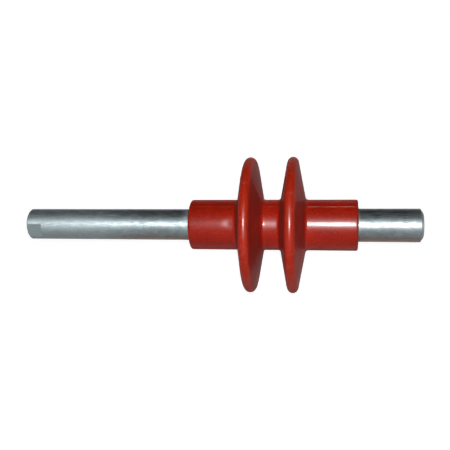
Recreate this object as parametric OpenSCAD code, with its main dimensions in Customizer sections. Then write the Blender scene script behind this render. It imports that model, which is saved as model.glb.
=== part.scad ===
// Drive insulator: a cast epoxy body with two sheds, and a steel shaft cast into each end.
// All sizes are in millimetres. The shaft axis is the X axis.
// The origin is on the axis, at the body's end face where the long shaft comes out.
// The long shaft runs towards -X and the body and the short stub towards +X.
// The milled drive flat faces the front, -Y.

/* [Epoxy body] */

// Length of the barrel between its two end faces
body_l = 131.5; // [110:0.5:170]
// Diameter of the barrel
barrel_d = 40; // [36:0.5:60]
// Radius that rounds the outer edge of each end face
end_round_r = 1.4; // [0.5:0.1:3]

/* [Sheds] */

// Number of sheds along the barrel
shed_count = 2; // [1:1:3]
// Diameter over the shed tips
shed_d = 107.5; // [80:0.5:130]
// Distance from the long shaft's end face to the middle plane of the first shed
first_shed_x = 48; // [40:0.5:60]
// Distance between the middle planes of neighbouring sheds
shed_pitch = 33.5; // [28:0.5:40]
// Radius of the round shed tip
shed_tip_r = 4.1; // [2.5:0.1:5.5]
// Thickness of a shed where its flanks run down to the barrel
shed_root_w = 19.8; // [15:0.2:24]
// Fillet between the flank and the barrel
root_fillet_r = 2.4; // [1:0.1:4]

/* [Long shaft] */

// Diameter of the long shaft
long_d = 25; // [20:0.5:30]
// Length of the long shaft outside the body
long_free_l = 138; // [60:1:250]
// Chamfer on the free end of the long shaft
long_chamfer = 1.2; // [0.5:0.1:3]
// Length of the milled drive flat, from the free end
flat_l = 13; // [6:0.5:30]
// Depth of the milled drive flat below the round surface
flat_depth = 1.5; // [1:0.1:6]

/* [Short stub] */

// Diameter of the short stub
stub_d = 26; // [20:0.5:30]
// Length of the stub outside the body
stub_free_l = 49; // [20:0.5:120]
// How far the stub's end chamfer cuts in from the round surface
stub_chamfer_depth = 3.2; // [0.5:0.1:5]
// How far the stub's end chamfer runs along the axis
stub_chamfer_run = 2.2; // [0.5:0.1:5]

/* [Anchors cast into the body] */

// Depth of each anchor inside the body
anchor_l = 38; // [30:1:50]
// Length of the turned neck, from the end face inwards
neck_l = 12; // [6:1:16]
// How much smaller the neck's radius is than the bar's
neck_cut = 2; // [0.8:0.1:3]
// Depth of the two opposite flats that stop the anchor head from turning in the resin
key_cut = 1.5; // [0.8:0.1:3]
// Radius that rounds the inner end of the anchor head
anchor_round_r = 4; // [2:0.5:6]

/* [Hidden] */

epoxy_red = [0.63, 0.15, 0.09];
steel_grey = [0.62, 0.67, 0.68];

// Steps in a drawn circle
$fn = 128;
// How far a cut reaches past the surface that it breaks through
over = 1;
// How far a rounding circle reaches past tangent, so that it crosses the straight outline
bite = 0.001;

barrel_r = barrel_d / 2;
shed_places = [for (i = [0 : shed_count - 1]) first_shed_x + i * shed_pitch];

// The tip of a shed is a circle with its centre this far from the axis
tip_c = shed_d / 2 - shed_tip_r;
// Distance of each flank's straight line from that centre
flank_off = shed_tip_r - bite;
// Distance from the tip's centre in to the barrel, and the angle that a flank leans over
web_h = tip_c - barrel_r;
lean = atan(shed_root_w / 2 / web_h)
    - asin(flank_off / norm([web_h, shed_root_w / 2]));
// A root fillet's centre: its distance from the axis, and from the shed's middle plane
fillet_c = barrel_r + root_fillet_r;
fillet_x = (flank_off + root_fillet_r + (tip_c - fillet_c) * sin(lean)) / cos(lean);

// Points of one shed's straight outline, going along the axis past the shed at x:
// barrel, end of the fillet, start of the tip, and the same again in the other order
function shed_outline(x) = [
    [barrel_r, x - fillet_x],
    [fillet_c - root_fillet_r * sin(lean), x - fillet_x + root_fillet_r * cos(lean)],
    [tip_c + flank_off * sin(lean), x - flank_off * cos(lean)],
    [tip_c + flank_off * sin(lean), x + flank_off * cos(lean)],
    [fillet_c - root_fillet_r * sin(lean), x + fillet_x - root_fillet_r * cos(lean)],
    [barrel_r, x + fillet_x],
];

// Half of the body's long section, as distance from the axis by distance along it.
// The straight outline comes first. Circles then round the tips and the end edges,
// and cut the root fillets, each where it touches its flank.
module body_section() {
    difference() {
        union() {
            polygon(concat(
                [[0, 0], [barrel_r - end_round_r, 0], [barrel_r, end_round_r]],
                [for (x = shed_places) each shed_outline(x)],
                [[barrel_r, body_l - end_round_r], [barrel_r - end_round_r, body_l], [0, body_l]]
            ));
            for (x = shed_places)
                translate([tip_c, x]) circle(r = shed_tip_r);
            for (x = [end_round_r, body_l - end_round_r])
                translate([barrel_r - end_round_r, x]) circle(r = end_round_r);
        }
        for (x = shed_places, side = [-1, 1])
            translate([fillet_c, x + side * fillet_x]) circle(r = root_fillet_r + bite);
    }
}

// Turns a shape that is drawn along +Z so that it lies along +X
module along_x() {
    rotate([0, 90, 0]) children();
}

// The cast-in end of a bar of radius r, drawn from the end face inwards along +Z.
// The neck holds it in the resin. The head behind it has two flats and a rounded inner end.
module anchor(r) {
    difference() {
        rotate_extrude() {
            polygon([
                [0, 0], [r - neck_cut, 0], [r - neck_cut, neck_l], [r, neck_l],
                [r, anchor_l - anchor_round_r], [r - anchor_round_r, anchor_l], [0, anchor_l],
            ]);
            translate([r - anchor_round_r, anchor_l - anchor_round_r]) circle(r = anchor_round_r);
        }
        for (turn = [0, 180])
            rotate(turn)
                translate([r - key_cut, -r - over, neck_l])
                    cube([key_cut + over, 2 * (r + over), anchor_l - neck_l + over]);
    }
}

// Both anchors where they lie in the body
module long_anchor() {
    along_x() anchor(long_d / 2);
}

module stub_anchor() {
    translate([body_l, 0, 0]) mirror([1, 0, 0]) along_x() anchor(stub_d / 2);
}

module epoxy_body() {
    color(epoxy_red)
        difference() {
            along_x() rotate_extrude() body_section();
            long_anchor();
            stub_anchor();
        }
}

// A round bar outside the body, drawn along +Z with its chamfered end at free_l
module free_bar(r, free_l, chamfer_depth, chamfer_run) {
    cylinder(r = r, h = free_l - chamfer_run);
    translate([0, 0, free_l - chamfer_run])
        cylinder(r1 = r, r2 = r - chamfer_depth, h = chamfer_run);
}

module long_shaft() {
    color(steel_grey) {
        difference() {
            mirror([1, 0, 0])
                along_x() free_bar(long_d / 2, long_free_l, long_chamfer, long_chamfer);
            translate([-long_free_l - over, -long_d / 2 - over, -long_d / 2 - over])
                cube([flat_l + over, flat_depth + over, long_d + 2 * over]);
        }
        long_anchor();
    }
}

module short_stub() {
    color(steel_grey) {
        translate([body_l, 0, 0])
            along_x() free_bar(stub_d / 2, stub_free_l, stub_chamfer_depth, stub_chamfer_run);
        stub_anchor();
    }
}

epoxy_body();
long_shaft();
short_stub();
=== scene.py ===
# %% [markdown]
# A drive insulator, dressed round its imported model
#
# This is an insulated drive shaft for switchgear: a red casting of epoxy resin with two sheds,
# and a steel bar cast into each end. Three solids come in as the fixed frame. Each is redrawn
# here as a finer mesh on the same sizes, because the frame's meshes are coarse where light runs
# along a curve. All lengths are in metres, and the shaft axis is the X axis.

# %% Load the frame
import math

import bpy
from mathutils import Matrix, Vector


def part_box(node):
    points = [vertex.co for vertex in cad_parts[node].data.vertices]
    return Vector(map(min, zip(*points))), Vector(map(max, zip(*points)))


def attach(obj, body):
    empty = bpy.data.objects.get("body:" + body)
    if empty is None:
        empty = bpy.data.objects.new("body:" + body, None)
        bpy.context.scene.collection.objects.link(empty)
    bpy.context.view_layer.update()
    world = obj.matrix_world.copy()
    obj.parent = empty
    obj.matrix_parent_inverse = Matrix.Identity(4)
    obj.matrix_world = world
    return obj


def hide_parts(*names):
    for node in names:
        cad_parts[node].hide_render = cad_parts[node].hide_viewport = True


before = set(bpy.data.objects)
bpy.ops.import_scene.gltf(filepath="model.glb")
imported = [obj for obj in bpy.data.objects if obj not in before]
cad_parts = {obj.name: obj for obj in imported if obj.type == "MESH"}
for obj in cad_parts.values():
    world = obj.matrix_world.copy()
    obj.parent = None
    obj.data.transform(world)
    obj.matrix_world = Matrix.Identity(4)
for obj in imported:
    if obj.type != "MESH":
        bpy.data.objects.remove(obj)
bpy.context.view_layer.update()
mm = 0.001

# %% [markdown]
# Sizes
#
# What the frame can tell is measured on it, so that the meshes can't drift from the solids. The
# frame's round surfaces are made of flat facets, so a radius that is measured on them is rounded
# to a quarter of a millimetre. The rest, such as the round of an edge, is written here once.

# %% Measure the frame
body_lo, body_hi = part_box("epoxy_body")
long_lo, long_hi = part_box("long_shaft")
stub_lo, stub_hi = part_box("short_stub")

left_face, right_face = body_lo.x, body_hi.x
quarter = mm / 4
shed_r, long_r, stub_r = [round(v.z / quarter) * quarter for v in (body_hi, long_hi, stub_hi)]
long_end, long_root = long_lo.x, long_hi.x
stub_end, stub_root = stub_hi.x, stub_lo.x
body_mid = (left_face + right_face) / 2
print("radii of sheds, long bar and stub:", shed_r, long_r, stub_r)

# %% Sizes that the frame doesn't name
barrel_r = 20 * mm
end_round_r = 1.4 * mm
first_shed_x, shed_pitch = 48 * mm, 33.5 * mm
shed_tip_r = 4.1 * mm
shed_root_w = 19.8 * mm
root_fillet_r = 2.4 * mm

long_chamfer = 1.2 * mm
flat_l, flat_depth = 13 * mm, 1.5 * mm
stub_chamfer_depth, stub_chamfer_run = 3.2 * mm, 2.2 * mm

neck_l, neck_cut = 12 * mm, 2 * mm
key_cut = 1.5 * mm
anchor_round_r = 4 * mm

seam_turn = math.radians(16.1)

# %% [markdown]
# The camera
#
# The picture is taken from above, opposite the right part of the body, with the shaft nearly
# level in it. A plain "look at" would tilt the shaft, because the camera turns left to centre the
# whole object. So the camera's three axes are built by hand: one to the right in the plane that
# holds the shaft, one up across the shaft, and one straight back from the lens. The values were
# found by laying the pieces' outline over the photograph's.

# %% Set up the camera
camera_foot_x = 113 * mm
camera_distance = 529 * mm
camera_elevation = math.radians(29.5)
camera_turn = math.radians(9.27)
camera_roll = math.radians(0.25)
sensor_width = 36
focal_in_widths = 1.48
picture_centre_drop = 0.28 * mm
nearest_seen, farthest_seen = 0.01, 20


def add_camera():
    towards = Vector((0, -math.cos(camera_elevation), math.sin(camera_elevation)))
    along = Vector((1, 0, 0))
    right = along * math.cos(camera_turn) - towards * math.sin(camera_turn)
    back = along * math.sin(camera_turn) + towards * math.cos(camera_turn)
    up = back.cross(right)
    place = along * camera_foot_x + towards * camera_distance - up * picture_centre_drop
    data = bpy.data.cameras.new("camera")
    data.sensor_width = sensor_width
    data.lens = sensor_width * focal_in_widths
    data.clip_start, data.clip_end = nearest_seen, farthest_seen
    camera = bpy.data.objects.new("camera", data)
    bpy.context.scene.collection.objects.link(camera)
    turn = Matrix((right, up, back)).transposed().to_4x4()
    camera.matrix_world = Matrix.Translation(place) @ turn @ Matrix.Rotation(camera_roll, 4, "Z")
    bpy.context.scene.camera = camera
    return camera


camera = add_camera()
print("camera at", [round(v, 4) for v in camera.location])
print("lens", round(camera.data.lens, 2), "mm")

# %% [markdown]
# Outlines
#
# Every piece here is turned or cast round one axis, so it is described by half of its long
# section: a chain of points, each a distance along the axis and a distance from it. Straight
# stretches get a point every so often, so that the skin can be bent a little later, and round
# ones are arcs.

# %% Helpers for outlines
small_arc_steps, tip_arc_steps = 8, 12


def straight(start, end, spacing):
    """Points from start to end, without the end itself."""
    count = max(1, round(math.dist(start, end) / spacing))
    return [tuple(a + (b - a) * i / count for a, b in zip(start, end)) for i in range(count)]


def arc(centre, radius, first_deg, last_deg, steps):
    """Points on an arc, both ends included. Angles count from the axis towards the outside."""
    angles = [first_deg + (last_deg - first_deg) * i / steps for i in range(steps + 1)]
    return [
        (
            centre[0] + radius * math.cos(math.radians(a)),
            centre[1] + radius * math.sin(math.radians(a)),
        )
        for a in angles
    ]


# Further out than any part of the model, so that nothing is pressed or milled
out_of_reach = 1.0


def stretch(points, reach_up=out_of_reach, reach_front=out_of_reach, outside=0.0):
    """Points of an outline with what the lathe has to know about them."""
    return [(x, r, reach_up, reach_front, outside) for x, r in points]


def outline_object(name, rows):
    """The outline as a chain of edges in the XZ plane, with each point's marks."""
    mesh = bpy.data.meshes.new(name)
    edges = [(i, i + 1) for i in range(len(rows) - 1)]
    mesh.from_pydata([(row[0], 0, row[1]) for row in rows], edges, [])
    for place, mark in enumerate(("reach_up", "reach_front", "outside"), start=2):
        values = [row[place] for row in rows]
        mesh.attributes.new(mark, "FLOAT", "POINT").data.foreach_set("value", values)
    thing = bpy.data.objects.new(name, mesh)
    bpy.context.scene.collection.objects.link(thing)
    return thing


# %% [markdown]
# The hidden ends of the bars
#
# Inside the resin each bar has a narrower neck, which the casting can't slide off, and behind it
# a head with two flats and a rounded inner end. The same points draw the head on the bar and the
# hollow in the casting, so the two fit.

# %% The anchor's outline


def anchor_outline(face_x, inner_x, bar_r):
    """From the axis at the inner end, out and along the head and the neck to the body's face."""
    way = 1 if inner_x > face_x else -1
    neck_r = bar_r - neck_cut
    neck_x = face_x + way * neck_l
    round_centre = (inner_x - way * anchor_round_r, bar_r - anchor_round_r)
    start_deg = 0 if way > 0 else 180
    rounded_end = arc(round_centre, anchor_round_r, start_deg, 90, small_arc_steps)
    head = stretch([(inner_x, 0), *rounded_end, (neck_x, bar_r)], reach_up=bar_r - key_cut)
    return head + stretch([(neck_x, neck_r), (face_x, neck_r)])


print("long anchor:", len(anchor_outline(left_face, long_root, long_r)), "points")

# %% [markdown]
# Node trees in code
#
# Geometry Nodes and materials are both trees of nodes. Small helpers keep the wiring short: one
# adds a node and fills its inputs, each with a plain value or with a link, and the others add a
# node for a sum and hand back its result.

# %% Helpers for node trees


def add_node(tree, kind, *inputs, **settings):
    """Adds a node, sets its properties, then fills its inputs in order. None leaves one alone."""
    node = tree.nodes.new(kind)
    for key, value in settings.items():
        setattr(node, key, value)
    open_sockets = [s for s in node.inputs if s.enabled]
    for socket, value in zip(open_sockets, inputs):
        if isinstance(value, bpy.types.NodeSocket):
            tree.links.new(value, socket)
        elif value is not None:
            socket.default_value = value
    return node


def calc(tree, operation, *inputs):
    return add_node(tree, "ShaderNodeMath", *inputs, operation=operation).outputs[0]


def vector_calc(tree, operation, *inputs):
    node = add_node(tree, "ShaderNodeVectorMath", *inputs, operation=operation)
    is_number = operation in ("LENGTH", "DISTANCE", "DOT_PRODUCT")
    return node.outputs["Value"] if is_number else node.outputs[0]


def window(tree, value, low, high):
    """0 below low, 1 above high, and smooth between. Low may be the larger number."""
    node = add_node(
        tree, "ShaderNodeMapRange", value, low, high, 0.0, 1.0, interpolation_type="SMOOTHSTEP"
    )
    return node.outputs[0]


def new_tree(name, numbers):
    """A geometry tree with named inputs, and its input and output nodes."""
    tree = bpy.data.node_groups.new(name, "GeometryNodeTree")
    tree.is_modifier = True
    tree.interface.new_socket("Outline", in_out="INPUT", socket_type="NodeSocketGeometry")
    for label, kind in numbers.items():
        tree.interface.new_socket(label, in_out="INPUT", socket_type="NodeSocket" + kind)
    tree.interface.new_socket("Piece", in_out="OUTPUT", socket_type="NodeSocketGeometry")
    return tree, tree.nodes.new("NodeGroupInput").outputs, tree.nodes.new("NodeGroupOutput")


# %% [markdown]
# A lathe in Geometry Nodes
#
# Blender's Screw modifier could turn the outline round the axis, but it spaces its steps evenly.
# The casting needs them close together along its mould seam and wide apart elsewhere. So a flat
# grid is made, with one row for each point of the outline and one column for each step round,
# and every grid point is moved to where its row and column belong. Points that meet at the end
# of the turn, or on the axis, are then welded.
#
# The outline also says how far its points may reach up or down, and to the front. That presses
# the flats into the anchor heads and mills the drive flat, as a cutter would.

# %% The lathe
weld_distance = 0.0005 * mm


def outline_value(tree, outline, row, mark, kind="FLOAT"):
    """Reads one of the outline's own values, or its position, at that row."""
    if mark == "position":
        value = add_node(tree, "GeometryNodeInputPosition").outputs[0]
    else:
        value = add_node(tree, "GeometryNodeInputNamedAttribute", mark, data_type=kind).outputs[0]
    sample = add_node(
        tree, "GeometryNodeSampleIndex", outline, value, row, data_type=kind, domain="POINT"
    )
    return sample.outputs[0]


def add_lathe(tree, given):
    """Adds the lathe to a tree and returns the turned skin."""
    outline, steps, gather = given["Outline"], given["Steps round"], given["Gather at seam"]
    turn = given["Seam turn"]
    counts = add_node(tree, "GeometryNodeAttributeDomainSize", outline, component="MESH")
    rows = counts.outputs["Point Count"]
    grid = add_node(tree, "GeometryNodeMeshGrid", 1.0, 1.0, calc(tree, "ADD", steps, 1), rows)
    index = add_node(tree, "GeometryNodeInputIndex").outputs[0]
    row = calc(tree, "FLOORED_MODULO", index, rows)
    column = calc(tree, "FLOOR", calc(tree, "DIVIDE", index, rows))

    even = calc(tree, "MULTIPLY", calc(tree, "DIVIDE", column, steps), math.tau)
    swing = calc(tree, "SINE", calc(tree, "MULTIPLY", even, 2.0))
    angle = calc(tree, "MULTIPLY_ADD", swing, calc(tree, "MULTIPLY", gather, 0.5), even)
    angle = calc(tree, "ADD", angle, turn)

    place = outline_value(tree, outline, row, "position", "FLOAT_VECTOR")
    along, _, radius = add_node(tree, "ShaderNodeSeparateXYZ", place).outputs
    y = calc(tree, "MULTIPLY", radius, calc(tree, "COSINE", angle))
    z = calc(tree, "MULTIPLY", radius, calc(tree, "SINE", angle))
    reach_up = outline_value(tree, outline, row, "reach_up")
    reach_front = outline_value(tree, outline, row, "reach_front")
    lowest = calc(tree, "MULTIPLY", reach_up, -1.0)
    z = calc(tree, "MAXIMUM", calc(tree, "MINIMUM", z, reach_up), lowest)
    y = calc(tree, "MAXIMUM", y, calc(tree, "MULTIPLY", reach_front, -1.0))
    spot = add_node(tree, "ShaderNodeCombineXYZ", along, y, z).outputs[0]
    moved = add_node(tree, "GeometryNodeSetPosition", grid.outputs["Mesh"], None, spot)
    outside = outline_value(tree, outline, row, "outside")
    marked = add_node(
        tree, "GeometryNodeStoreNamedAttribute", moved.outputs[0], None, "outside", outside,
        data_type="FLOAT", domain="POINT",
    )
    welded = add_node(tree, "GeometryNodeMergeByDistance", marked.outputs[0], None, weld_distance)
    return welded.outputs[0]


def finish_tree(tree, given, result, skin):
    """Shades smooth, makes everything real and gives it the material."""
    smooth = add_node(tree, "GeometryNodeSetShadeSmooth", skin)
    real = add_node(tree, "GeometryNodeRealizeInstances", smooth.outputs[0])
    painted = add_node(tree, "GeometryNodeSetMaterial", real.outputs[0], None, given["Material"])
    tree.links.new(painted.outputs[0], result.inputs[0])


def turned_bar_tree():
    numbers = {
        "Steps round": "Int",
        "Gather at seam": "Float",
        "Seam turn": "Float",
        "Material": "Material",
    }
    tree, given, result = new_tree("turned_bar", numbers)
    finish_tree(tree, given, result, add_lathe(tree, given))
    return tree


bar_tree = turned_bar_tree()
print("the bar's tree has", len(bar_tree.nodes), "nodes")

# %% [markdown]
# The casting's skin
#
# A mould's two halves never meet perfectly, so the resin leaves a thin raised line where they
# close. Here they part in a plane through the axis that leans a little to the front, and the
# photograph shows the line above the middle of the barrel, where it fades in and out. The resin
# also shrinks a little as it sets. That makes the skin very slightly wavy, which breaks up the
# long reflections, and it leaves a shallow sink mark beside the left shed. All three move points
# along the skin's own normal, so they are real shape and not a bump in the material.

# %% The casting's tree
flash_patch_scale = 130.0
faintest_flash = 0.5


def bell(tree, distance, width):
    """1 where the distance is 0, falling smoothly to almost nothing at twice the width."""
    ratio = calc(tree, "DIVIDE", distance, width)
    square = calc(tree, "MULTIPLY", ratio, ratio)
    return calc(tree, "EXPONENT", calc(tree, "MULTIPLY", square, -1.0))


def casting_tree():
    numbers = {
        "Steps round": "Int",
        "Gather at seam": "Float",
        "Seam turn": "Float",
        "Seam height": "Float",
        "Seam width": "Float",
        "Wave height": "Float",
        "Wave length": "Float",
        "Seed": "Float",
        "Sink place": "Vector",
        "Sink depth": "Float",
        "Sink width": "Float",
        "Material": "Material",
    }
    tree, given, result = new_tree("cast_body", numbers)
    skin = add_lathe(tree, given)
    place = add_node(tree, "GeometryNodeInputPosition").outputs[0]
    normal = add_node(tree, "GeometryNodeInputNormal").outputs[0]
    _, y, z = add_node(tree, "ShaderNodeSeparateXYZ", place).outputs
    cosine = calc(tree, "COSINE", given["Seam turn"])
    sine = calc(tree, "SINE", given["Seam turn"])
    across = calc(tree, "MULTIPLY_ADD", y, cosine, calc(tree, "MULTIPLY", z, sine))
    ridge = calc(tree, "MULTIPLY", bell(tree, across, given["Seam width"]), given["Seam height"])
    along_only = vector_calc(tree, "MULTIPLY", place, (1.0, 0.0, 0.0))
    patchy = add_node(tree, "ShaderNodeTexNoise", along_only, None, flash_patch_scale, 2.0)
    strong = window(tree, patchy.outputs[0], 0.40, 0.60)
    strength = calc(tree, "MULTIPLY_ADD", strong, 1 - faintest_flash, faintest_flash)
    ridge = calc(tree, "MULTIPLY", ridge, strength)

    scale = calc(tree, "DIVIDE", 1.0, given["Wave length"])
    swell = add_node(
        tree, "ShaderNodeTexNoise", place, given["Seed"], scale, 2.0, noise_dimensions="4D"
    )
    level = calc(tree, "SUBTRACT", swell.outputs[0], 0.5)
    wave = calc(tree, "MULTIPLY", level, given["Wave height"])

    from_sink = vector_calc(tree, "DISTANCE", place, given["Sink place"])
    sink = calc(tree, "MULTIPLY", bell(tree, from_sink, given["Sink width"]), given["Sink depth"])

    outside = add_node(tree, "GeometryNodeInputNamedAttribute", "outside", data_type="FLOAT")
    lift = calc(tree, "SUBTRACT", calc(tree, "ADD", ridge, wave), sink)
    lift = calc(tree, "MULTIPLY", lift, outside.outputs[0])
    offset = vector_calc(tree, "SCALE", normal, lift)
    raised = add_node(tree, "GeometryNodeSetPosition", skin, None, None, offset)
    finish_tree(tree, given, result, raised.outputs[0])
    return tree


cast_tree = casting_tree()
print("the casting's tree has", len(cast_tree.nodes), "nodes")

# %% [markdown]
# From outline to piece
#
# A modifier's inputs are set by each socket's identifier, before the object is first looked at.
# The result is then copied out as a plain mesh, and the outline, having done its work, goes.
# Smooth shading would smear across a real corner, so edges sharper than a given angle stay hard.

# %% Run a tree
hard_edge_deg = 30


def run_tree(name, rows, tree, values, material):
    outline = outline_object(name + "_outline", rows)
    modifier = outline.modifiers.new("tree", "NODES")
    modifier.node_group = tree
    for item in tree.interface.items_tree:
        if item.in_out == "INPUT" and item.name in values:
            modifier[item.identifier] = values[item.name]
        elif item.name == "Material":
            modifier[item.identifier] = material
    bpy.context.view_layer.update()
    graph = bpy.context.evaluated_depsgraph_get()
    mesh = bpy.data.meshes.new_from_object(outline.evaluated_get(graph))
    mesh.name = name
    mesh.set_sharp_from_angle(angle=math.radians(hard_edge_deg))
    piece = bpy.data.objects.new(name, mesh)
    bpy.context.scene.collection.objects.link(piece)
    bpy.data.objects.remove(outline)
    print(name, "has", len(mesh.vertices), "points and", len(mesh.polygons), "faces")
    return piece


# %% [markdown]
# The casting
#
# Half of the casting's long section is drawn from the axis at the long bar's hidden end, out of
# that hollow, along the barrel and over the two sheds, and back in to the axis at the stub's
# hidden end. A shed is wide at its root and thin at its round tip, so that the mould opens
# easily. Its flanks lean by the angle that lets them touch the tip's circle.

# %% The casting's outline
skin_step = 1.5 * mm
tip_c = shed_r - shed_tip_r
web_h = tip_c - barrel_r
web_l = math.hypot(web_h, shed_root_w / 2)
lean = math.atan2(shed_root_w / 2, web_h) - math.asin(shed_tip_r / web_l)
fillet_c = barrel_r + root_fillet_r
fillet_x = (shed_tip_r + root_fillet_r + (tip_c - fillet_c) * math.sin(lean)) / math.cos(lean)
shed_places = [left_face + first_shed_x, left_face + first_shed_x + shed_pitch]


def mirrored(points, middle):
    """The same points on the other side of a plane across the axis, in walking order."""
    return [(2 * middle - x, r) for x, r in reversed(points)]


def shed_outline(middle):
    lean_deg = math.degrees(lean)
    root = arc((middle - fillet_x, fillet_c), root_fillet_r, -90, -lean_deg, small_arc_steps)
    tip = arc((middle, tip_c), shed_tip_r, 180 - lean_deg, 90, tip_arc_steps)
    left = root[:-1] + straight(root[-1], tip[0], skin_step) + tip
    return left + mirrored(left[:-1], middle)


def end_outline(face_x, bar_r, way):
    """A body's end from the bar's neck out over the rounded edge. Way is 1 at the left end."""
    centre = (face_x + way * end_round_r, barrel_r - end_round_r)
    neck_r = bar_r - neck_cut
    edge = arc(centre, end_round_r, 180 if way > 0 else 0, 90, small_arc_steps)
    return straight((face_x, neck_r), edge[0], skin_step)[1:] + edge


def casting_outline():
    left_end = end_outline(left_face, long_r, 1)
    right_end = end_outline(right_face, stub_r, -1)
    first, second = [shed_outline(x) for x in shed_places]
    skin = left_end[:-1]
    skin += straight(left_end[-1], first[0], skin_step) + first[:-1]
    skin += straight(first[-1], second[0], skin_step) + second[:-1]
    skin += straight(second[-1], right_end[-1], skin_step) + right_end[::-1]
    left_hollow = anchor_outline(left_face, long_root, long_r)
    right_hollow = anchor_outline(right_face, stub_root, stub_r)
    return left_hollow + stretch(skin, outside=1.0) + right_hollow[::-1]


casting_rows = casting_outline()
print("the casting's outline has", len(casting_rows), "points")
print("a flank leans", round(math.degrees(lean), 2), "degrees")

# %% [markdown]
# The bars
#
# Both bars are cut from round stock, with a chamfer turned on the free end. An edge that a tool
# leaves is never perfectly sharp, so each gets a tiny round, which catches a thin line of light.
# The long one has a flat milled on its front, where a lever clamps. There the outline has two
# points at the same place: one may reach only as far as the flat, and the next is free, which
# makes the upright step that the cutter leaves.

# %% The bars' outlines
bar_step = 3 * mm
worn_edge_r = 0.25 * mm


def rounded_corner(before, corner, after, radius, steps=3):
    """Points that round a corner, from its first tangent point to its last."""
    corner_v, before_v, after_v = Vector(corner), Vector(before), Vector(after)
    to_before = (before_v - corner_v).normalized()
    to_after = (after_v - corner_v).normalized()
    half = to_before.angle(to_after) / 2
    first = corner_v + to_before * radius / math.tan(half)
    last = corner_v + to_after * radius / math.tan(half)
    points = []
    for i in range(steps + 1):
        t = i / steps
        bent = first * (1 - t) ** 2 + corner_v * 2 * t * (1 - t) + last * t**2
        points.append(tuple(bent))
    return points


def free_end(end_x, bar_r, depth, run, way):
    """The free end of a bar, from the axis out over its chamfer. Way points along the bar."""
    pole, inner = (end_x, 0), (end_x, bar_r - depth)
    outer, along = (end_x + way * run, bar_r), (end_x + way * 3 * run, bar_r)
    face = straight(pole, inner, bar_step)
    face_edge = rounded_corner(pole, inner, outer, worn_edge_r)
    bar_edge = rounded_corner(inner, outer, along, worn_edge_r)
    return face + face_edge + bar_edge


def long_bar_outline():
    end = free_end(long_end, long_r, long_chamfer, long_chamfer, 1)
    shoulder = (long_end + flat_l, long_r)
    face = (left_face, long_r)
    milled = end + straight(end[-1], shoulder, bar_step)[1:] + [shoulder]
    plain = [shoulder, *straight(shoulder, face, bar_step)[1:], face]
    head = anchor_outline(left_face, long_root, long_r)[::-1]
    return stretch(milled, reach_front=long_r - flat_depth) + stretch(plain) + head


def stub_outline():
    end = free_end(stub_end, stub_r, stub_chamfer_depth, stub_chamfer_run, -1)
    face = (right_face, stub_r)
    plain = [*end, *straight(end[-1], face, bar_step)[1:], face]
    return anchor_outline(right_face, stub_root, stub_r) + stretch(plain[::-1])


long_rows, stub_rows = long_bar_outline(), stub_outline()
print("outline points: long bar", len(long_rows), "and stub", len(stub_rows))

# %% [markdown]
# Helpers for finishes
#
# A finish is a tree of nodes too. The patterns read Object coordinates, in metres from the
# model's own origin, so a noise of scale 500 has features about 2 mm wide. Each pattern is first
# stretched to run from 0 to 1, then used to blend colours or to change the roughness.

# %% Helpers for finishes


def new_finish(name, **settings):
    """A material with one shader. Constants are set on the shader's own sockets."""
    material = bpy.data.materials.new(name)
    material.use_nodes = True
    tree = material.node_tree
    shader = tree.nodes["Principled BSDF"]
    for label, value in settings.items():
        shader.inputs[label.replace("_", " ")].default_value = value
    place = add_node(tree, "ShaderNodeTexCoord").outputs["Object"]
    return material, tree, shader, place


def stretched(tree, place, x, y, z):
    """The place, drawn out or squeezed along each axis, so a pattern on it runs that way."""
    return vector_calc(tree, "MULTIPLY", place, (x, y, z))


def noise(tree, place, scale, detail=3.0, roughness=0.5, warp=0.0):
    node = add_node(tree, "ShaderNodeTexNoise", place, scale, detail, roughness, 2.0, warp)
    return node.outputs[0]


def blend(tree, amount, first, second):
    """A colour between two, each given as a link or as red, green and blue."""
    node = add_node(tree, "ShaderNodeMix", data_type="RGBA")
    sockets = node.inputs[0], node.inputs[6], node.inputs[7]
    for socket, value in zip(sockets, (amount, first, second)):
        if isinstance(value, bpy.types.NodeSocket):
            tree.links.new(value, socket)
        else:
            socket.default_value = (*value, 1) if isinstance(value, tuple) else value
    return node.outputs[2]


def from_axis(tree, place):
    """How far a place is from the shaft axis, and how far along it."""
    x, y, z = add_node(tree, "ShaderNodeSeparateXYZ", place).outputs
    square = calc(tree, "MULTIPLY_ADD", y, y, calc(tree, "MULTIPLY", z, z))
    return calc(tree, "SQRT", square), x


def add_bumps(tree, shader, *layers):
    """Stacks bumps. Each layer is a height pattern and how tall it is, in metres."""
    normal = None
    for height, tall in layers:
        normal = add_node(tree, "ShaderNodeBump", 1.0, tall, None, height, normal).outputs[0]
    tree.links.new(normal, shader.inputs["Normal"])


# %% [markdown]
# Epoxy finish
#
# The casting is quartz-filled epoxy, pigmented red all through. Straight from the mould it has a
# semi-gloss skin: a broad dull sheen from the filler, and over it a sharper one from the thin
# layer of clear resin that lies against the mould. The Principled shader's coat gives the second.
# At a glancing angle the dull sheen is made rougher, because there the filler's grains stand up
# out of the resin and hide the shine. The colour is mottled by the filler. The round shed tips
# are painted lighter: this is painted light, for the lamp's light that falls full on the tips.
# The skin has a fine orange peel, and handling has left rubbed patches on the tips and a few
# scuffs.

# %% Epoxy finish
epoxy_red = (0.462, 0.019, 0.004)
epoxy_dark = (0.268, 0.006, 0.001)
epoxy_pale = (0.42, 0.075, 0.05)
# Painted light: the lighter red painted on the round shed tips, where the lamp falls full on them
painted_tip_light = (0.60, 0.035, 0.010)

# How fine each pattern is: at a scale of 1000 its features are about 1 mm wide
patch_scale, drift_scale, rub_scale, peel_scale = 38, 55, 240, 420
scuff_scale, filler_scale, speck_scale = 700, 1050, 1700

# How much of its colour each mark brings
painted_tip_light_share, speck_share, rub_share, scuff_share = 0.34, 0.16, 0.45, 0.22

# The plain skin's roughness, and what is added where each of the others is full
skin_rough, filler_adds, glancing_adds = 0.33, 0.08, 0.35
drift_adds, wear_adds = -0.04, 0.4

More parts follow.
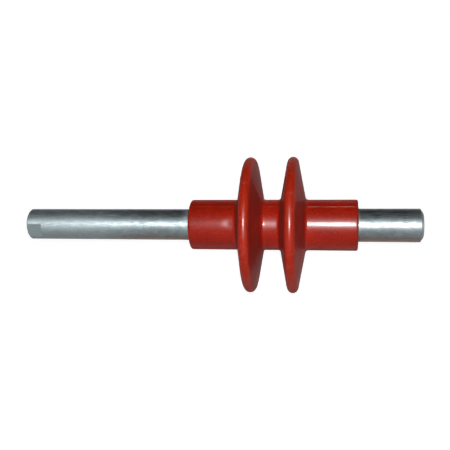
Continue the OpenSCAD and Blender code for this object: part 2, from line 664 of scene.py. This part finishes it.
peel_height, filler_height, wear_height = 0.012 * mm, 0.006 * mm, -0.02 * mm


def epoxy_finish():
    material, tree, shader, place = new_finish(
        "red_epoxy", Specular_IOR_Level=0.083, Coat_Weight=0.047, Coat_Roughness=0.09, Coat_IOR=1.8
    )
    radius, _ = from_axis(tree, place)
    drift = window(tree, noise(tree, place, drift_scale, 3), 0.35, 0.68)
    filler = noise(tree, place, filler_scale, 2, 0.6)
    grain = window(tree, filler, 0.34, 0.66)
    tone = calc(tree, "MULTIPLY_ADD", grain, 0.7, calc(tree, "MULTIPLY", drift, 0.3))
    body = blend(tree, tone, epoxy_dark, epoxy_red)

    # Painted light: the shed tips are painted lighter, standing in for the lamp's light on them
    painted_lit_tip = window(tree, radius, shed_r - 4.2 * mm, shed_r - 2.6 * mm)
    body = blend(tree, calc(tree, "MULTIPLY", painted_lit_tip, painted_tip_light_share), body, painted_tip_light)

    specks = window(tree, noise(tree, place, speck_scale, 1), 0.66, 0.74)
    body = blend(tree, calc(tree, "MULTIPLY", specks, speck_share), body, epoxy_pale)

    rubbed_place = stretched(tree, place, 0.6, 1, 1)
    rubbed = window(tree, noise(tree, rubbed_place, rub_scale, 4, 0.6), 0.50, 0.72)
    near_tip = window(tree, radius, shed_r - 2.2 * mm, shed_r)
    rim_wear = calc(tree, "MULTIPLY", near_tip, rubbed)
    scuff_place = stretched(tree, place, 1, 0.25, 0.25)
    scuffs = window(tree, noise(tree, scuff_place, scuff_scale, 3, 0.6, 0.4), 0.64, 0.72)
    patches = window(tree, noise(tree, place, patch_scale, 2), 0.52, 0.66)
    wear = calc(tree, "MULTIPLY", calc(tree, "MULTIPLY", scuffs, patches), scuff_share)
    wear = calc(tree, "MULTIPLY_ADD", rim_wear, rub_share, wear)
    body = blend(tree, wear, body, epoxy_pale)
    tree.links.new(body, shader.inputs["Base Color"])

    facing = add_node(tree, "ShaderNodeLayerWeight", 0.5).outputs["Facing"]
    glancing = window(tree, facing, 0.35, 0.8)
    rough = calc(tree, "MULTIPLY_ADD", filler, filler_adds, skin_rough)
    rough = calc(tree, "MULTIPLY_ADD", glancing, glancing_adds, rough)
    rough = calc(tree, "MULTIPLY_ADD", drift, drift_adds, rough)
    rough = calc(tree, "MULTIPLY_ADD", wear, wear_adds, rough)
    tree.links.new(rough, shader.inputs["Roughness"])
    peel = noise(tree, place, peel_scale, 2)
    add_bumps(tree, shader, (peel, peel_height), (filler, filler_height), (wear, wear_height))
    return material


red_epoxy = epoxy_finish()
print(red_epoxy.name, "has", len(red_epoxy.node_tree.nodes), "nodes")

# %% [markdown]
# Steel finish
#
# The bars are steel, zinc plated and gone dull. The plating has a cloudy, blotched tone a few
# millimetres wide and a fine grain, and very fine scratches run along the bar. In a scratch the
# steel is rougher, so a highlight has a bright core and a broad soft skirt. The marks of turning,
# too fine to see, run round the bar and spread the highlight along it, as anisotropy does. Next
# to the body the resin has kept the steel bright, and towards the long bar's free end it is paler
# and duller. The underside is painted brown, as a painted reflection of the red body and the
# table below it; this is strongest next to the body and fades out along the long bar. There are
# also a few real brown spots. Low dents bend the reflections, and the cutter has left fine marks
# on the end faces and on the flat. The two bars share one recipe and differ in their values.

# %% Steel finish
zinc_white = (0.184, 0.216, 0.223)

# How fine each pattern is, as in the epoxy
dent_scale, cloud_scale, warp_scale, spot_scale = 130, 260, 300, 420
plating_scale, scratch_scale = 1300, 7000

# How much of its colour each mark brings. The painted reflection under the bar, a brown tint for
# the red body and table, fades with distance from the body.
plating_share, weather_share, spot_share, flat_share = 0.6, 0.5, 0.45, 0.5
most_painted_reflection, least_painted_reflection = 0.9, 0.15

# The plain zinc's roughness, and what is added where each of the others is full
zinc_rough, cloud_adds, scratch_adds, bright_adds, weather_adds = 0.40, -0.05, 0.45, 0.16, 0.12

dent_height, scratch_height, cloud_height = 0.04 * mm, 0.0013 * mm, 0.002 * mm
cut_height, ring_pitch, pass_pitch = 0.006 * mm, 0.45 * mm, 0.7 * mm
near_a_cut, on_a_cut = 0.06 * mm, 0.02 * mm


def steel_finish(name, bright, dull, spot_and_reflection_brown, face_x, bright_l, end_x, flat_y=None):
    material, tree, shader, place = new_finish(
        name, Metallic=1.0, Anisotropic=0.55, Anisotropic_Rotation=0.25
    )
    tangent = add_node(tree, "ShaderNodeTangent", direction_type="RADIAL", axis="X").outputs[0]
    tree.links.new(tangent, shader.inputs["Tangent"])
    radius, along = from_axis(tree, place)

    cloud_place = stretched(tree, place, 0.7, 1, 1)
    cloud = window(tree, noise(tree, cloud_place, cloud_scale, 4, 0.6, 0.3), 0.34, 0.66)
    scratches = noise(tree, stretched(tree, place, 0.02, 1, 1), scratch_scale, 2, 0.6)
    body = blend(tree, cloud, dull, bright)
    drawn_out = stretched(tree, place, 0.5, 1, 1)
    plating = window(tree, noise(tree, drawn_out, plating_scale, 2), 0.35, 0.65)
    body = blend(tree, calc(tree, "MULTIPLY", plating, plating_share), body, dull)

    from_face = calc(tree, "ABSOLUTE", calc(tree, "SUBTRACT", along, face_x))
    near_face = window(tree, from_face, bright_l, 0.0)
    body = blend(tree, near_face, body, bright)
    weathered = window(tree, from_face, 20 * mm, 90 * mm)
    body = blend(tree, calc(tree, "MULTIPLY", weathered, weather_share), body, zinc_white)
    _, y, z = add_node(tree, "ShaderNodeSeparateXYZ", place).outputs
    # Painted reflection: the underside is tinted brown for the red body and the table that it
    # faces, strongest next to the body. The random spots are real brown spots in the same colour.
    painted_reflection_below = window(tree, z, 0.0, -7 * mm)
    spots = window(tree, noise(tree, place, spot_scale, 2, 0.5, 0.5), 0.64, 0.74)
    spotted = calc(tree, "MULTIPLY", spots, spot_share)
    close = window(tree, from_face, 75 * mm, 40 * mm)
    painted_reflection_strength = calc(tree, "MULTIPLY_ADD", close, most_painted_reflection - least_painted_reflection, least_painted_reflection)
    spots_and_painted_reflection = calc(tree, "MAXIMUM", calc(tree, "MULTIPLY", painted_reflection_below, painted_reflection_strength), spotted)
    body = blend(tree, spots_and_painted_reflection, body, spot_and_reflection_brown)

    from_end = calc(tree, "ABSOLUTE", calc(tree, "SUBTRACT", along, end_x))
    on_face = window(tree, from_end, near_a_cut, on_a_cut)
    rings = calc(tree, "SINE", calc(tree, "MULTIPLY", radius, math.tau / ring_pitch))
    cut_marks = calc(tree, "MULTIPLY", rings, on_face)
    if flat_y is not None:
        from_flat = calc(tree, "ABSOLUTE", calc(tree, "SUBTRACT", y, flat_y))
        on_flat = window(tree, from_flat, near_a_cut, on_a_cut)
        warped = calc(tree, "MULTIPLY_ADD", noise(tree, place, warp_scale, 2), 0.5 * mm, along)
        passes = calc(tree, "SINE", calc(tree, "MULTIPLY", warped, math.tau / pass_pitch))
        cut_marks = calc(tree, "MULTIPLY_ADD", passes, on_flat, cut_marks)
        body = blend(tree, calc(tree, "MULTIPLY", on_flat, flat_share), body, bright)
    tree.links.new(body, shader.inputs["Base Color"])

    rough = calc(tree, "MULTIPLY_ADD", cloud, cloud_adds, zinc_rough)
    scratched = window(tree, scratches, 0.40, 0.62)
    rough = calc(tree, "MULTIPLY_ADD", scratched, scratch_adds, rough)
    rough = calc(tree, "MULTIPLY_ADD", near_face, bright_adds, rough)
    rough = calc(tree, "MULTIPLY_ADD", weathered, weather_adds, rough)
    tree.links.new(rough, shader.inputs["Roughness"])
    dents = noise(tree, drawn_out, dent_scale, 3)
    fine_marks = (scratches, scratch_height), (cloud, cloud_height), (cut_marks, cut_height)
    add_bumps(tree, shader, (dents, dent_height), *fine_marks)
    return material


# Each bar's brown serves both the painted reflection on its underside and its real brown spots.
long_steel = steel_finish(
    "long_steel",
    bright=(0.146, 0.175, 0.184),
    dull=(0.100, 0.118, 0.124),
    spot_and_reflection_brown=(0.115, 0.082, 0.070),
    face_x=left_face,
    bright_l=9 * mm,
    end_x=long_end,
    flat_y=flat_depth - long_r,
)
stub_steel = steel_finish(
    "stub_steel",
    bright=(0.142, 0.167, 0.174),
    dull=(0.098, 0.112, 0.116),
    spot_and_reflection_brown=(0.125, 0.084, 0.072),
    face_x=right_face,
    bright_l=2.5 * mm,
    end_x=stub_end,
)
print(long_steel.name, "has", len(long_steel.node_tree.nodes), "nodes")

# %% [markdown]
# Make the three pieces
#
# Each piece takes the place of one solid of the frame, on the same sizes, and rides where it
# rode. The casting has its columns gathered at the seam; the bars are turned evenly.

# %% Make the pieces
casting = run_tree(
    "epoxy_casting", casting_rows, cast_tree,
    {
        "Steps round": 288,
        "Gather at seam": 0.9,
        "Seam turn": seam_turn,
        "Seam height": 0.19 * mm,
        "Seam width": 0.15 * mm,
        "Wave height": 0.12 * mm,
        "Wave length": 25 * mm,
        "Seed": 4.0,
        "Sink place": (32.5 * mm, -16.9 * mm, 10.7 * mm),
        "Sink depth": 0.3 * mm,
        "Sink width": 3.5 * mm,
    },
    red_epoxy,
)
even_turn = {"Steps round": 256, "Gather at seam": 0.0, "Seam turn": 0.0}
long_bar = run_tree("long_bar", long_rows, bar_tree, even_turn, long_steel)
stub = run_tree("stub_bar", stub_rows, bar_tree, even_turn, stub_steel)

for piece, node, slot in (
    (casting, "epoxy_body", "red_epoxy"),
    (long_bar, "long_shaft", "long_steel"),
    (stub, "short_stub", "stub_steel"),
):
    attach(piece, "root")
    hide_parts(node)

# %% [markdown]
# Floor and background
#
# The insulator lies on a pale table, touching it with both sheds. Seen by the camera, in a
# reflection or through glass, the table is nearly white by itself and keeps only a soft shadow.
# For all other light it is a plain grey surface, so it doesn't brighten the object from below.

# %% Floor
floor_z = -shed_r
floor_half = 4.0
table_grey, shadow_grey = 0.15, 0.42
near_white, near_distance, white_distance = 0.88, 0.30, 0.85


def any_seen_ray(tree):
    """1 for what the camera sees straight, in a reflection or through glass, and 0 otherwise."""
    paths = add_node(tree, "ShaderNodeLightPath").outputs
    seen = calc(tree, "MAXIMUM", paths["Is Camera Ray"], paths["Is Glossy Ray"])
    return calc(tree, "MAXIMUM", seen, paths["Is Transmission Ray"])


def floor_finish():
    material = bpy.data.materials.new("pale_table")
    material.use_nodes = True
    tree = material.node_tree
    tree.nodes.remove(tree.nodes["Principled BSDF"])
    plain, soft = [
        add_node(tree, "ShaderNodeBsdfDiffuse", (grey, grey, grey, 1)).outputs[0]
        for grey in (table_grey, shadow_grey)
    ]
    place = add_node(tree, "ShaderNodeTexCoord").outputs["Object"]
    away = window(tree, vector_calc(tree, "LENGTH", place), near_distance, white_distance)
    level = calc(tree, "MULTIPLY_ADD", away, 1 - near_white, near_white)
    glow = add_node(tree, "ShaderNodeEmission", (1, 1, 1, 1), level).outputs[0]
    bright = add_node(tree, "ShaderNodeAddShader", soft, glow).outputs[0]
    chosen = add_node(tree, "ShaderNodeMixShader", any_seen_ray(tree), plain, bright).outputs[0]
    tree.links.new(chosen, tree.nodes["Material Output"].inputs["Surface"])
    return material


def add_floor():
    mesh = bpy.data.meshes.new("floor")
    signs = (-1, -1), (1, -1), (1, 1), (-1, 1)
    corners = [(x * floor_half, y * floor_half, floor_z) for x, y in signs]
    mesh.from_pydata(corners, [], [(0, 1, 2, 3)])
    mesh.materials.append(floor_finish())
    floor = bpy.data.objects.new("floor", mesh)
    bpy.context.scene.collection.objects.link(floor)
    return floor


floor = add_floor()
print("floor at", round(floor_z / mm, 2), "mm")

# %% [markdown]
# Light
#
# The photograph looks lit by one round soft lamp close to the lens, because the highlight runs
# down the middle of every round surface and the upper edges fall off dark. Its highlights are
# much stronger than its plain light, so a second lamp in the same place, the gleam, is there for
# reflections alone. A wide low lamp behind lights the far side, and is kept out of reflections.
# The world is dark above and gives very little light. Its lowest part is a white wall, seen by
# the camera, in reflections and through glass. A lamp's power comes from how bright it should
# look and from its area.

# %% Lamps and world
key_width, key_glow, key_rise = 145 * mm, 43.0, 32 * mm
gleam_glow = 280.0
back_width, back_glow, back_place = 500 * mm, 9.0, Vector((body_mid, 0.90, 0.12))
grey_behind, grey_in_front = 0.012, 0.022
wall_top, wall_full = 0.38, 0.20


def add_lamp(name, width, glow, place):
    """A round lamp, pointed at the middle of the body."""
    data = bpy.data.lights.new(name, "AREA")
    data.shape, data.size = "DISK", width
    area = math.pi * width**2 / 4
    data.energy = glow * math.pi * area
    lamp = bpy.data.objects.new(name, data)
    lamp.location = place
    aim = Vector((body_mid, 0, 0)) - place
    lamp.rotation_euler = aim.to_track_quat("-Z", "Y").to_euler()
    lamp.visible_camera = False
    bpy.context.scene.collection.objects.link(lamp)
    return lamp


def world_light():
    world = bpy.data.worlds.new("studio")
    bpy.context.scene.world = world
    world.use_nodes = True
    tree = world.node_tree
    background = tree.nodes["Background"]
    way = add_node(tree, "ShaderNodeTexCoord").outputs["Generated"]
    _, depth, height = add_node(tree, "ShaderNodeSeparateXYZ", way).outputs
    front = window(tree, depth, 0.6, -0.9)
    shade = blend(tree, front, (grey_behind,) * 3, (grey_in_front,) * 3)
    wall = window(tree, height, wall_top, wall_full)
    seen = calc(tree, "MULTIPLY", any_seen_ray(tree), wall)
    tree.links.new(blend(tree, seen, shade, (1.0, 1.0, 1.0)), background.inputs["Color"])
    background.inputs["Strength"].default_value = 1.0


camera_axes = camera.matrix_world.to_3x3()
key_place = camera.location + camera_axes.col[1] * key_rise
key = add_lamp("key", key_width, key_glow, key_place)
world_light()
gleam = add_lamp("gleam", key_width, gleam_glow, key_place)
gleam.visible_diffuse = False
back = add_lamp("back", back_width, back_glow, back_place)
back.visible_glossy = False
print("key lamp power", round(key.data.energy, 2), "W")

# %% [markdown]
# Colours
#
# The pictures use the Standard view, so that colours come out as written.

# %% Finish
bpy.context.scene.view_settings.view_transform = "Standard"
